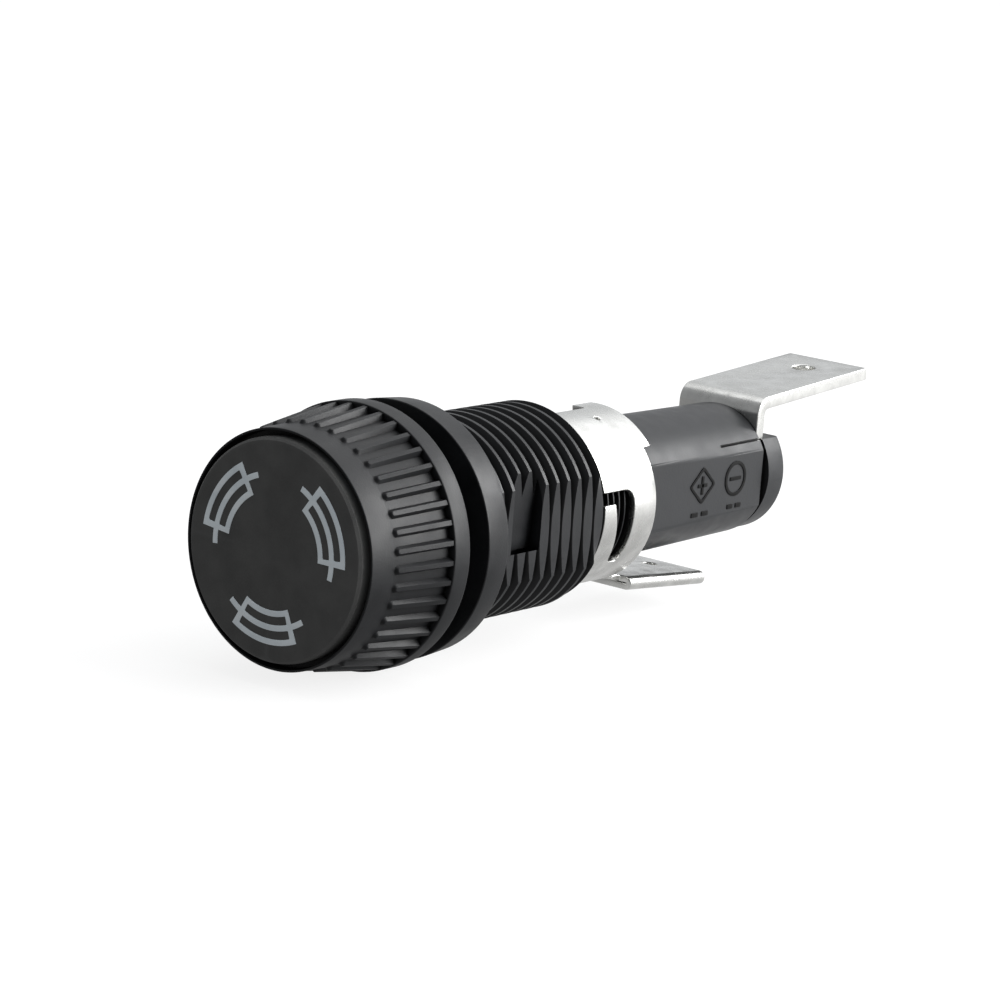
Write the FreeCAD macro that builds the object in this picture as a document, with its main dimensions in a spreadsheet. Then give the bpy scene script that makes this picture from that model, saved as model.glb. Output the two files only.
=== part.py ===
import FreeCAD, Part
import math
import os
import Sketcher

# Panel-mounted cartridge fuse holder with a bayonet knob, for a 6.3 x 32 mm glass fuse.
# Frame: Y is the holder's axis, the knob faces -Y and the solder and blade ends face +Y.
# The origin is on the axis in the plane of the panel, which is the rear face of the flange.
# +Z is the side of the rear blade terminal, +X and -X are the sides with the flats.

DRIVING_DIMENSIONS = [
    # knob: stations along Y and radii
    ("knob_face", -11.9),
    ("disc_radius", 6.52),
    ("disc_thickness", 1.3),
    ("disc_edge", 0.35),
    ("lip_front", -11.45),
    ("lip_inner_radius", 6.85),
    ("lip_outer_radius", 7.0),
    ("knurl_front", -9.6),
    ("knurl_front_radius", 7.05),
    ("knurl_rear", -5.3),
    ("knurl_rear_radius", 7.7),
    ("knurl_count", 42),
    ("knurl_width", 0.55),
    ("rim_radius", 7.93),
    ("rim_rear", -3.9),
    ("skirt_inner_radius", 6.7),
    ("recess_front", -8.4),
    ("hub_radius", 5.4),
    ("sleeve_radius", 4.45),
    ("sleeve_bore", 3.7),
    ("sleeve_rear", 7.5),
    ("wall_rear", -9.4),
    ("rivet_seat_radius", 2.2),
    ("rivet_seat_depth", 0.5),
    # three printed fuse symbols on the face: a frame with a line through it, along an arc
    ("mark_outer_radius", 5.4),
    ("mark_inner_radius", 3.4),
    ("mark_stroke", 0.34),
    ("mark_height", 0.04),
    ("mark_angle", 27.0),
    ("mark_sweep", 54.0),
    ("mark_window_sweep", 45.1),
    ("mark_line_sweep", 76.0),
    # rivet through the knob's front wall
    ("rivet_radius", 0.9),
    ("rivet_hole", 0.95),
    ("rivet_head_radius", 1.9),
    ("rivet_head_height", 0.4),
    ("rivet_foot_radius", 1.6),
    ("rivet_foot_height", 0.35),
    # bayonet: two lugs on the knob's sleeve, two channels and grooves in the body
    ("lug_radius", 5.2),
    ("lug_front", -1.5),
    ("lug_thickness", 1.0),
    ("lug_sweep", 22.0),
    ("lug_angle", 48.0),
    ("channel_radius", 5.3),
    ("channel_sweep", 28.0),
    ("groove_front", -1.6),
    ("groove_length", 2.0),
    ("groove_sweep", 78.0),
    # contact sleeve inside the knob
    ("contact_radius", 3.65),
    ("contact_wall", 0.35),
    ("contact_rear", 16.0),
    ("contact_slit_width", 0.5),
    ("contact_slit_length", 6.0),
    # pressure cup and its spring
    ("cup_radius", 3.1),
    ("cup_wall", 0.3),
    ("cup_rear", -1.1),
    ("cup_depth", 2.9),
    ("spring_radius", 2.25),
    ("spring_wire_radius", 0.22),
    ("spring_front", -8.4),
    ("spring_rear", -1.65),
    ("spring_turns", 6),
    # fuse: 6.3 x 32 mm glass cartridge
    ("fuse_front", -1.05),
    ("fuse_length", 31.75),
    ("fuse_cap_radius", 3.175),
    ("fuse_cap_length", 6.35),
    ("fuse_cap_wall", 0.22),
    ("glass_radius", 2.93),
    ("glass_bore", 2.25),
    ("glass_setback", 0.3),
    ("solder_radius", 1.1),
    ("solder_length", 1.2),
    ("wire_radius", 0.12),
    # body: flange, thread, seat of the side terminal, tube, rear collar
    ("flange_front", -2.0),
    ("flange_rear", 0.0),
    ("flange_radius", 7.75),
    ("flange_rear_radius", 7.6),
    ("flange_edge", 0.3),
    ("body_bore", 4.6),
    ("body_bore_rear", 8.6),
    ("middle_bore", 3.85),
    ("middle_bore_rear", 17.0),
    ("thread_radius", 6.35),
    ("thread_root_radius", 5.5),
    ("thread_start", 0.04),
    ("thread_pitch", 1.058),
    ("thread_turns", 11),
    ("thread_crest_front", 0.46),
    ("thread_crest_rear", 0.6),
    ("thread_end_radius", 6.1),
    ("thread_rear", 11.7),
    ("half_across_flats", 5.68),
    ("flat_front", 0.3),
    ("seat_radius", 5.1),
    ("seat_rear", 17.3),
    ("tube_front_radius", 4.45),
    ("tube_rear_radius", 4.25),
    ("tube_bore", 3.4),
    ("tube_rear", 30.95),
    ("tube_half_width", 3.85),
    ("collar_radius", 4.15),
    ("collar_rear", 33.2),
    ("collar_edge", 0.25),
    ("collar_top", 2.4),
    ("slot_width", 0.9),
    ("slot_bottom", -2.6),
    # window in each flat of the thread, with a sloped floor that ends in a slit
    ("window_front", 2.7),
    ("window_rear", 5.45),
    ("window_top", 3.9),
    ("window_top_depth", 5.2),
    ("window_bottom", -0.85),
    ("window_bottom_depth", 4.8),
    ("slit_bottom", -1.05),
    ("slit_depth", 4.2),
    # window in the wall for the side terminal's tongue
    ("tongue_window_front", 12.7),
    ("tongue_window_rear", 16.5),
    ("tongue_window_half_height", 1.3),
    # side terminal: strap round the seat and a folded blade
    ("strap_inner_radius", 5.13),
    ("strap_thickness", 0.4),
    ("strap_front", 12.0),
    ("strap_side_rear", 17.2),
    ("strap_top_rear", 17.9),
    ("strap_step_height", 3.6),
    ("strap_start_angle", 97.0),
    ("strap_sweep", 297.0),
    ("strap_corner_front", 16.0),
    ("strap_corner_x", 1.2),
    ("strap_slot_front", 12.9),
    ("strap_slot_rear", 15.0),
    ("strap_slot_bottom", -2.9),
    ("strap_slot_top", 1.42),
    ("strap_notch_bottom", 0.7),
    ("tongue_half_height", 0.9),
    ("tongue_root", 16.2),
    ("tongue_tip", 13.0),
    ("tongue_tip_radius", 3.7),
    ("tongue_thickness", 0.3),
    ("neck_half_width", 2.2),
    ("blade_width", 6.3),
    ("blade_thickness", 0.8),
    ("side_blade_front", 18.6),
    ("side_blade_length", 8.0),
    ("side_blade_top", -5.1),
    ("side_blade_slope", 5.0),
    ("side_hole_radius", 0.5),
    ("side_hole_setback", 1.8),
    # rear terminal: leg in the transverse slot, bent to a blade
    ("leg_front", 31.0),
    ("leg_bottom", -2.5),
    ("bend_top", 5.0),
    ("rear_blade_end", 43.6),
    ("rear_blade_rise", 0.9),
    ("bend_radius", 1.1),
    ("inner_bend_radius", 0.35),
    ("blade_hole_radius", 0.8),
    ("blade_hole_setback", 3.0),
    ("dimple_radius", 1.0),
    ("dimple_height", 0.25),
]

SIZE = dict(DRIVING_DIMENSIONS)
AXIS = "axis"

doc = FreeCAD.newDocument("cartridge_fuse_holder")
sheet = doc.addObject("Spreadsheet::Sheet", "dims")
for row, (alias, number) in enumerate(DRIVING_DIMENSIONS, start=1):
    sheet.set("A%d" % row, alias)
    sheet.set("B%d" % row, str(number))
    sheet.setAlias("B%d" % row, alias)
doc.recompute()


def vector(x, y, z):
    return FreeCAD.Vector(x, y, z)


def terms(text):
    """Split a sum such as 'strap_front + 2*pitch' into (sign, factor, name) triples."""
    sign = 1
    found = []
    for token in text.split():
        if token in "+-":
            sign = 1 if token == "+" else -1
            continue
        factor, _, name = token.rpartition("*")
        found.append((sign, float(factor or 1), name))
        sign = 1
    return found


def value(text):
    """The number that a sum of sheet cells comes to."""
    return sum(sign * factor * SIZE[name] for sign, factor, name in terms(text))


def expression(text):
    """The same sum written as a FreeCAD expression on the sheet."""
    parts = ["%+g * dims.%s" % (sign * factor, name) for sign, factor, name in terms(text)]
    return " ".join(parts)


def origin_plane(body, role):
    return [item for item in body.Origin.OriginFeatures if item.Role == role][0]


def sketch_on(body, name, role, outline, offset=None):
    """A closed outline on one of the body's own planes, each corner bound to the sheet."""
    sketch = body.newObject("Sketcher::SketchObject", name)
    sketch.AttachmentSupport = [(origin_plane(body, role), "")]
    sketch.MapMode = "FlatFace"
    corners = []
    for across, up in outline:
        x = 0.0 if across == AXIS else value(across)
        corners.append(vector(x, value(up), 0))
    count = len(corners)
    for index in range(count):
        line = Part.LineSegment(corners[index], corners[(index + 1) % count])
        sketch.addGeometry(line, False)
    for index in range(count):
        following = (index + 1) % count
        sketch.addConstraint(Sketcher.Constraint("Coincident", index, 2, following, 1))
    for index, (across, up) in enumerate(outline):
        if across == AXIS:
            sketch.addConstraint(Sketcher.Constraint("PointOnObject", index, 1, -2))
        else:
            bind(sketch, "DistanceX", index, corners[index].x, across)
        bind(sketch, "DistanceY", index, corners[index].y, up)
    if offset:
        sketch.AttachmentOffset = FreeCAD.Placement(vector(0, 0, value(offset)), FreeCAD.Rotation())
        sketch.setExpression("AttachmentOffset.Base.z", expression(offset))
    return sketch


def bind(sketch, kind, index, number, text):
    place = sketch.addConstraint(Sketcher.Constraint(kind, -1, 1, index, 1, number))
    sketch.setExpression("Constraints[%d]" % place, expression(text))


def box_outline(left, right, bottom, top):
    return [(left, bottom), (right, bottom), (right, top), (left, top)]


def turned(name, outline):
    """A body turned about Y from an outline of (radius, station) corners."""
    body = doc.addObject("PartDesign::Body", name)
    sketch = sketch_on(body, name + "_outline", "XY_Plane", outline)
    turn = body.newObject("PartDesign::Revolution", name + "_turned")
    turn.Profile = sketch
    turn.ReferenceAxis = (sketch, ["V_Axis"])
    turn.Angle = 360
    doc.recompute()
    body.Tip = turn
    return body


def pocket(body, name, sketch, length=None, reverse=False, both_ways=False):
    """Cut a sketch into the body, right through or to a length, and make sure it cuts."""
    before = body.Shape.Volume
    cut = body.newObject("PartDesign::Pocket", name)
    cut.Profile = sketch
    if length:
        cut.Type = "Length"
        cut.setExpression("Length", expression(length))
    else:
        cut.Type = "ThroughAll"
    if both_ways:
        cut.SideType = "Symmetric"
    cut.Reversed = reverse
    doc.recompute()
    body.Tip = cut
    if not body.Shape.Volume < before - 0.001:
        raise RuntimeError(name + " cuts nothing")
    return cut


def polar(body, name, feature, count_name=None, count=2):
    """Repeat a feature round the Y axis."""
    pattern = body.newObject("PartDesign::PolarPattern", name)
    pattern.Originals = [feature]
    pattern.Axis = (origin_plane(body, "Y_Axis"), [""])
    pattern.Angle = 360
    pattern.Occurrences = count
    if count_name:
        pattern.setExpression("Occurrences", expression(count_name))
    doc.recompute()
    body.Tip = pattern
    return pattern


def sector(name, radius, length, front, start, sweep):
    """Part of a round bar along +Y that runs from the start angle down, as seen from -Y."""
    bar = doc.addObject("Part::Cylinder", name)
    bar.setExpression("Radius", expression(radius))
    bar.setExpression("Height", expression(length))
    bar.setExpression("Angle", expression(sweep))
    along_y = FreeCAD.Rotation(vector(1, 0, 0), -90)
    about_y = FreeCAD.Rotation(vector(0, 1, 0), -start)
    bar.Placement = FreeCAD.Placement(vector(0, value(front), 0), about_y.multiply(along_y))
    bar.setExpression("Placement.Base.y", expression(front))
    return bar


def block(name, low, high):
    """A box between two corners, each coordinate a sum of sheet cells."""
    box = doc.addObject("Part::Box", name)
    sides = ("Length", "Width", "Height")
    box.Placement = FreeCAD.Placement(vector(*[value(text) for text in low]), FreeCAD.Rotation())
    for side, axis, start, end in zip(sides, "xyz", low, high):
        box.setExpression(side, expression(end) + " - (" + expression(start) + ")")
        box.setExpression("Placement.Base." + axis, expression(start))
    return box


def cut(name, base, tools):
    result = doc.addObject("Part::Cut", name)
    result.Base = base
    result.Tool = tools[0] if len(tools) == 1 else fused(name + "_tools", tools)
    return result


def fused(name, pieces):
    result = doc.addObject("Part::MultiFuse", name)
    result.Shapes = pieces
    return result


def ring_sector(name, outer, inner, length, front, start, sweep):
    """A curved bar between two radii."""
    whole = sector(name + "_outer", outer, length, front, start, sweep)
    hollow = sector(name + "_inner", inner, length, front, start, sweep)
    return cut(name, whole, [hollow])


def opposite_sectors(name, outer, inner, length, front, sweep, lead):
    """Two opposite curved bars, each starting a lead in degrees above the lugs' angle."""
    pair = []
    for index, half_turn in enumerate((0, 180)):
        start = SIZE["lug_angle"] + lead + half_turn
        pair.append(ring_sector("%s_%d" % (name, index), outer, inner, length, front, start, sweep))
    return pair


def edges_along_x(shape, places, tolerance=0.02):
    """Names of the edges that run along X through the given (y, z) places."""
    names = []
    for index, edge in enumerate(shape.Edges, start=1):
        along_x = abs(edge.tangentAt(edge.FirstParameter).x) > 0.999
        middle = edge.CenterOfMass
        for y, z in places:
            if along_x and math.hypot(middle.y - y, middle.z - z) < tolerance:
                names.append("Edge%d" % index)
    return names


def rounded(body, name, places, radius):
    """Round the body's edges that run along X through the given (y, z) places."""
    previous = body.Tip
    edges = edges_along_x(previous.Shape, places)
    fillet = body.newObject("PartDesign::Fillet", name)
    fillet.Base = (previous, edges)
    fillet.Radius = SIZE[radius]
    fillet.setExpression("Radius", expression(radius))
    doc.recompute()
    body.Tip = fillet


def make_knob_shell():
    seat = "knob_face + disc_thickness"
    outline = [
        ("rivet_hole", seat + " + rivet_seat_depth"),
        ("rivet_seat_radius", seat + " + rivet_seat_depth"),
        ("rivet_seat_radius", seat),
        ("lip_inner_radius", seat),
        ("lip_inner_radius", "lip_front"),
        ("lip_outer_radius", "lip_front"),
        ("knurl_front_radius", "knurl_front"),
        ("knurl_rear_radius", "knurl_rear"),
        ("rim_radius", "knurl_rear"),
        ("rim_radius", "rim_rear"),
        ("skirt_inner_radius", "rim_rear"),
        ("skirt_inner_radius", "recess_front"),
        ("hub_radius", "recess_front"),
        ("hub_radius", "rim_rear"),
        ("sleeve_radius", "rim_rear"),
        ("sleeve_radius", "sleeve_rear"),
        ("sleeve_bore", "sleeve_rear"),
        ("sleeve_bore", "wall_rear"),
        ("rivet_hole", "wall_rear"),
    ]
    body = turned("knob_blank", outline)
    gap = box_outline("- 0.5*knurl_width", "0.5*knurl_width", "knurl_front_radius", "rim_radius")
    gap_sketch = sketch_on(body, "knurl_groove_outline", "XZ_Plane", gap, "- knurl_rear")
    groove = pocket(body, "knurl_groove", gap_sketch, "knurl_rear - knurl_front", reverse=True)
    polar(body, "knurl", groove, "knurl_count")
    lugs = opposite_sectors("lug", "lug_radius", "sleeve_bore", "lug_thickness", "lug_front",
                            "lug_sweep", 0.5 * SIZE["lug_sweep"])
    return fused("knob_shell", [body] + lugs)


def make_face_disc():
    rear = "knob_face + disc_thickness"
    return turned("knob_face_disc", [
        (AXIS, "knob_face"),
        ("disc_radius - disc_edge", "knob_face"),
        ("disc_radius", "knob_face + disc_edge"),
        ("disc_radius", rear),
        (AXIS, rear),
    ])


def make_face_marks():
    front = "knob_face - mark_height"
    outer = "mark_outer_radius"
    inner = "mark_inner_radius"
    stroke = "mark_stroke"
    middle = "0.5*mark_outer_radius + 0.5*mark_inner_radius"
    half_line = "0.5*mark_stroke"
    pieces = []
    for index in range(3):
        centre = SIZE["mark_angle"] + 120 * index
        frame = ring_sector("mark_frame_%d" % index, outer, inner, "mark_height", front,
                            centre + 0.5 * SIZE["mark_sweep"], "mark_sweep")
        window = ring_sector("mark_window_%d" % index, outer + " - " + stroke, inner + " + " + stroke,
                             "mark_height", front,
                             centre + 0.5 * SIZE["mark_window_sweep"], "mark_window_sweep")
        line = ring_sector("mark_line_%d" % index, middle + " + " + half_line,
                           middle + " - " + half_line, "mark_height", front,
                           centre + 0.5 * SIZE["mark_line_sweep"], "mark_line_sweep")
        pieces += [cut("mark_outline_%d" % index, frame, [window]), line]
    return fused("face_marks", pieces)


def make_rivet():
    head_rear = "knob_face + disc_thickness + rivet_seat_depth"
    foot_front = "wall_rear + contact_wall"
    foot_rear = foot_front + " + rivet_foot_height"
    return turned("contact_rivet", [
        (AXIS, head_rear + " - rivet_head_height"),
        ("rivet_head_radius", head_rear + " - rivet_head_height"),
        ("rivet_head_radius", head_rear),
        ("rivet_radius", head_rear),
        ("rivet_radius", foot_front),
        ("rivet_foot_radius", foot_front),
        ("rivet_foot_radius", foot_rear),
        (AXIS, foot_rear),
    ])


def make_contact_sleeve():
    blank = turned("contact_sleeve_blank", [
        ("rivet_hole", "wall_rear"),
        ("contact_radius", "wall_rear"),
        ("contact_radius", "contact_rear"),
        ("contact_radius - contact_wall", "contact_rear"),
        ("contact_radius - contact_wall", "wall_rear + contact_wall"),
        ("rivet_hole", "wall_rear + contact_wall"),
    ])
    start = "contact_rear - contact_slit_length"
    end = "contact_rear + contact_wall"
    thin = "0.5*contact_slit_width"
    wide = "contact_radius + contact_wall"
    slits = [
        block("slit_across", ("- " + thin, start, "- " + wide), (thin, end, wide)),
        block("slit_along", ("- " + wide, start, "- " + thin), (wide, end, thin)),
    ]
    return cut("contact_sleeve", blank, slits)


def make_pressure_cup():
    return turned("pressure_cup", [
        (AXIS, "cup_rear"),
        ("cup_radius", "cup_rear"),
        ("cup_radius", "cup_rear - cup_depth"),
        ("cup_radius - cup_wall", "cup_rear - cup_depth"),
        ("cup_radius - cup_wall", "cup_rear - cup_wall"),
        (AXIS, "cup_rear - cup_wall"),
    ])


def make_spring():
    helix = doc.addObject("Part::Helix", "spring_line")
    helix.setExpression("Radius", expression("spring_radius"))
    helix.setExpression("Height", expression("spring_rear - spring_front"))
    helix.setExpression("Pitch", "(" + expression("spring_rear - spring_front") + ") / dims.spring_turns")
    helix.SegmentLength = 1
    wire = doc.addObject("Part::RegularPolygon", "spring_wire")
    wire.Polygon = 12
    wire.setExpression("Circumradius", expression("spring_wire_radius"))
    wire.setExpression("Placement.Base.x", expression("spring_radius"))
    wire.Placement = FreeCAD.Placement(vector(SIZE["spring_radius"], 0, 0),
                                       FreeCAD.Rotation(vector(1, 0, 0), 90))
    doc.recompute()
    spring = doc.addObject("Part::Sweep", "knob_spring")
    spring.Sections = [wire]
    spring.Spine = (helix, ["Edge%d" % (index + 1) for index in range(len(helix.Shape.Edges))])
    spring.Solid = True
    spring.Frenet = True
    spring.Placement = FreeCAD.Placement(vector(0, SIZE["spring_front"], 0),
                                         FreeCAD.Rotation(vector(1, 0, 0), -90))
    spring.setExpression("Placement.Base.y", expression("spring_front"))
    return spring


def make_fuse_cap(name, closed_end, direction):
    """A brass end cap, closed at one end and open towards the fuse's middle."""
    inward = " %s " % direction
    return turned(name, [
        (AXIS, closed_end),
        ("fuse_cap_radius", closed_end),
        ("fuse_cap_radius", closed_end + inward + "fuse_cap_length"),
        ("glass_radius", closed_end + inward + "fuse_cap_length"),
        ("glass_radius", closed_end + inward + "fuse_cap_wall"),
        (AXIS, closed_end + inward + "fuse_cap_wall"),
    ])


def make_fuse():
    front = "fuse_front"
    rear = "fuse_front + fuse_length"
    pieces = [make_fuse_cap("fuse_front_cap", front, "+"), make_fuse_cap("fuse_rear_cap", rear, "-")]
    glass = [front + " + glass_setback", rear + " - glass_setback"]
    pieces.append(turned("fuse_glass", box_outline("glass_bore", "glass_radius", *glass)))
    solder_front = [front + " + fuse_cap_wall", front + " + fuse_cap_wall + solder_length"]
    solder_rear = [rear + " - fuse_cap_wall - solder_length", rear + " - fuse_cap_wall"]
    for name, (start, end) in (("fuse_front_solder", solder_front), ("fuse_rear_solder", solder_rear)):
        pieces.append(turned(name, box_outline(AXIS, "solder_radius", start, end)))
    wire = box_outline(AXIS, "wire_radius", solder_front[1], solder_rear[0])
    pieces.append(turned("fuse_wire", wire))
    return pieces


def thread_corners():
    """Rings of the thread's section, each a ridge between two root corners."""
    corners = []
    for turn in range(int(SIZE["thread_turns"])):
        ridge = "thread_start + %d*thread_pitch" % turn
        last = turn == SIZE["thread_turns"] - 1
        crest = "thread_end_radius" if last else "thread_radius"
        corners += [
            ("thread_root_radius", ridge),
            (crest, ridge + " + thread_crest_front"),
            (crest, ridge + " + thread_crest_rear"),
        ]
    return corners


def make_body_blank():
    outline = [
        ("body_bore", "flange_front"),
        ("flange_radius - flange_edge", "flange_front"),
        ("flange_radius", "flange_front + flange_edge"),
        ("flange_rear_radius", "flange_rear"),
        ("thread_root_radius", "flange_rear"),
    ]
    outline += thread_corners()
    outline += [
        ("thread_root_radius", "thread_rear"),
        ("seat_radius", "thread_rear"),
        ("seat_radius", "seat_rear"),
        ("tube_front_radius", "seat_rear"),
        ("tube_rear_radius", "tube_rear"),
        ("collar_radius", "tube_rear + slot_width"),
        ("collar_radius", "collar_rear - collar_edge"),
        ("collar_radius - collar_edge", "collar_rear"),
        (AXIS, "collar_rear"),
        (AXIS, "tube_rear + 0.5*slot_width"),
        ("tube_bore", "tube_rear + 0.5*slot_width"),
        ("tube_bore", "middle_bore_rear"),
        ("middle_bore", "middle_bore_rear"),
        ("middle_bore", "body_bore_rear"),
        ("body_bore", "body_bore_rear"),
    ]
    return turned("body_blank", outline)


def make_holder_body():
    body = make_body_blank()
    beyond = "flange_radius"
    # two flats along the thread
    flat = box_outline("half_across_flats", beyond, "flat_front", "thread_rear")
    first = pocket(body, "thread_flat", sketch_on(body, "thread_flat_outline", "XY_Plane", flat),
                   both_ways=True)
    polar(body, "thread_flats", first)
    # window with a sloped floor in each flat, ending in a slit that opens into the bore
    window = [
        ("window_top_depth", "window_top"),
        ("window_bottom_depth", "window_bottom"),
        ("slit_depth", "window_bottom"),
        ("slit_depth", "slit_bottom"),
        (beyond, "slit_bottom"),
        (beyond, "window_top"),
    ]
    window_sketch = sketch_on(body, "window_outline", "XZ_Plane", window, "- window_rear")
    first = pocket(body, "window", window_sketch, "window_rear - window_front", reverse=True)
    polar(body, "windows", first)
    # flats on the tube's sides
    side = box_outline("tube_half_width", beyond, "seat_rear", "tube_rear")
    first = pocket(body, "tube_flat", sketch_on(body, "tube_flat_outline", "XY_Plane", side),
                   both_ways=True)
    polar(body, "tube_flats", first)
    # transverse slot for the rear terminal, and the collar's open top behind it
    slot = [
        ("tube_rear", "slot_bottom"),
        ("tube_rear + slot_width", "slot_bottom"),
        ("tube_rear + slot_width", "collar_top"),
        ("collar_rear + slot_width", "collar_top"),
        ("collar_rear + slot_width", beyond),
        ("tube_rear", beyond),
    ]
    pocket(body, "terminal_slot", sketch_on(body, "terminal_slot_outline", "YZ_Plane", slot),
           both_ways=True)
    # bayonet channels from the front face, the grooves behind them, and the tongue's window
    margin = 0.5 * SIZE["channel_sweep"]
    depth = ("channel_radius", "sleeve_bore")
    channels = opposite_sectors("channel", *depth, "groove_front - flange_front", "flange_front",
                                "channel_sweep", margin)
    grooves = opposite_sectors("bayonet_groove", *depth, "groove_length", "groove_front",
                               "groove_sweep", margin)
    tongue_window = block(
        "tongue_window",
        ("- thread_radius", "tongue_window_front", "- tongue_window_half_height"),
        ("- fuse_cap_radius", "tongue_window_rear", "tongue_window_half_height"),
    )
    return cut("holder_body", body, channels + grooves + [tongue_window])


def make_side_terminal():
    outer = "strap_inner_radius + strap_thickness"
    beyond = "flange_radius"
    strap = ring_sector("strap_band", outer, "strap_inner_radius", "strap_top_rear - strap_front",
                        "strap_front", SIZE["strap_start_angle"], "strap_sweep")
    cutters = [
        # the band is shorter along its sides than over the top
        block("strap_side_cut", ("- " + beyond, "strap_side_rear", "- " + beyond),
              (beyond, "strap_top_rear + strap_thickness", "strap_step_height")),
        # front corner of the band's upper end
        block("strap_corner_cut", ("- strap_corner_x", "strap_front - strap_thickness", "slit_depth"),
              ("strap_thickness", "strap_corner_front", beyond)),
        # long slot in the +X side, open to the front at its upper end
        block("strap_slot", ("slit_depth", "strap_slot_front", "strap_slot_bottom"),
              (beyond, "strap_slot_rear", "strap_slot_top")),
        block("strap_notch", ("slit_depth", "strap_front - strap_thickness", "strap_notch_bottom"),
              (beyond, "strap_slot_front", "strap_slot_top")),
        # opening that the tongue is cut from
        block("tongue_cut", ("- " + beyond, "tongue_tip", "- tongue_window_half_height"),
              ("- slit_depth", "tongue_root", "tongue_window_half_height")),
    ]
    band = cut("strap", strap, cutters)
    neck = block("neck", ("- neck_half_width", "strap_side_rear - strap_thickness",
                          "- strap_inner_radius - strap_thickness"),
                 ("neck_half_width", "side_blade_front + strap_thickness", "- strap_inner_radius"))
    blade = doc.addObject("Part::Box", "side_blade")
    blade.setExpression("Length", expression("blade_width"))
    blade.setExpression("Width", expression("side_blade_length"))
    blade.setExpression("Height", expression("blade_thickness"))
    blade.Placement = FreeCAD.Placement(
        vector(0, 0, 0), FreeCAD.Rotation(vector(1, 0, 0), -SIZE["side_blade_slope"]))
    blade.setExpression("Placement.Base.x", expression("- 0.5*blade_width"))
    blade.setExpression("Placement.Base.y", expression("side_blade_front"))
    blade.setExpression("Placement.Base.z", expression("side_blade_top - blade_thickness"))
    hole = doc.addObject("Part::Cylinder", "side_blade_hole")
    hole.setExpression("Radius", expression("side_hole_radius"))
    hole.setExpression("Height", expression("flange_radius - strap_inner_radius"))
    hole.setExpression("Placement.Base.y",
                       expression("side_blade_front + side_blade_length - side_hole_setback"))
    hole.setExpression("Placement.Base.z", expression("- flange_radius"))
    pierced = cut("side_blade_pierced", blade, [hole])
    return fused("side_terminal", [band, neck, pierced, make_tongue()])


def make_tongue():
    """Spring tongue bent inwards from the band to touch the contact sleeve."""
    outer = value("strap_inner_radius")
    tip = value("tongue_tip_radius")
    thick = value("tongue_thickness")
    half = value("tongue_half_height")
    root = value("tongue_root")
    front = value("tongue_tip")
    corners = [
        (-outer - SIZE["strap_thickness"], root),
        (-outer - SIZE["strap_thickness"], root + thick),
        (-outer, root + thick),
        (-tip, front + 2 * thick),
        (-tip, front),
        (-tip - thick, front),
        (-tip - thick, front + thick),
    ]
    points = [vector(x, y, -half) for x, y in corners]
    face = Part.Face(Part.makePolygon(points + points[:1]))
    tongue = doc.addObject("Part::Feature", "tongue")
    tongue.Shape = face.extrude(vector(0, 0, 2 * half))
    return tongue


def make_rear_terminal():
    body = doc.addObject("PartDesign::Body", "rear_terminal")
    leg_rear = "leg_front + blade_thickness"
    rise = "bend_top + rear_blade_rise"
    outline = [
        ("leg_front", "leg_bottom"),
        (leg_rear, "leg_bottom"),
        (leg_rear, "bend_top - blade_thickness"),
        ("rear_blade_end", rise + " - blade_thickness"),
        ("rear_blade_end", rise),
        ("leg_front", "bend_top"),
    ]
    pad = body.newObject("PartDesign::Pad", "rear_terminal_plate")
    pad.Profile = sketch_on(body, "rear_terminal_outline", "YZ_Plane", outline)
    pad.SideType = "Symmetric"
    pad.setExpression("Length", expression("blade_width"))
    doc.recompute()
    body.Tip = pad
    rounded(body, "outer_bend", [(value("leg_front"), value("bend_top"))], "bend_radius")
    inner = (value(leg_rear), value("bend_top - blade_thickness"))
    rounded(body, "inner_bend", [inner], "inner_bend_radius")
    hole = doc.addObject("Part::Cylinder", "blade_hole")
    hole.setExpression("Radius", expression("blade_hole_radius"))
    hole.setExpression("Height", expression("bend_top + rear_blade_rise + blade_thickness"))
    hole.setExpression("Placement.Base.y", expression("rear_blade_end - blade_hole_setback"))
    dimple = doc.addObject("Part::Cylinder", "contact_dimple")
    dimple.setExpression("Radius", expression("dimple_radius"))
    dimple.setExpression("Height", expression("dimple_height + blade_thickness"))
    dimple.Placement = FreeCAD.Placement(vector(0, 0, 0),
                                         FreeCAD.Rotation(vector(1, 0, 0), -90))
    dimple.setExpression("Placement.Base.y", expression("leg_front - dimple_height"))
    return fused("rear_terminal_with_dimple", [cut("rear_terminal_bored", body, [hole]), dimple])


SUB_PARTS = {
    "knob_shell": make_knob_shell(),
    "knob_face_disc": make_face_disc(),
    "face_marks": make_face_marks(),
    "contact_rivet": make_rivet(),
    "contact_sleeve": make_contact_sleeve(),
    "pressure_cup": make_pressure_cup(),
    "knob_spring": make_spring(),
    "holder_body": make_holder_body(),
    "side_terminal": make_side_terminal(),
    "rear_terminal": make_rear_terminal(),
}
for piece in make_fuse():
    SUB_PARTS[piece.Name] = piece

doc.recompute()
for item in doc.Objects:
    if "Invalid" in item.State or "Error" in item.State:
        raise RuntimeError(item.Name + " did not recompute")

os.makedirs("parts", exist_ok=True)
for name, item in SUB_PARTS.items():
    item.Label = name
    if item.Shape.isNull() or not item.Shape.isValid():
        raise RuntimeError(name + " has no valid shape")
    item.Shape.exportStep("parts/%s.step" % name)
    box = item.Shape.BoundBox
    print("%-18s %d solid(s) %9.2f mm3  x %.2f..%.2f  y %.2f..%.2f  z %.2f..%.2f" % (
        name, len(item.Shape.Solids), item.Shape.Volume,
        box.XMin, box.XMax, box.YMin, box.YMax, box.ZMin, box.ZMax))
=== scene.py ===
import math

import bmesh
import bpy
import numpy as np
from mathutils import Matrix, Vector


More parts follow.
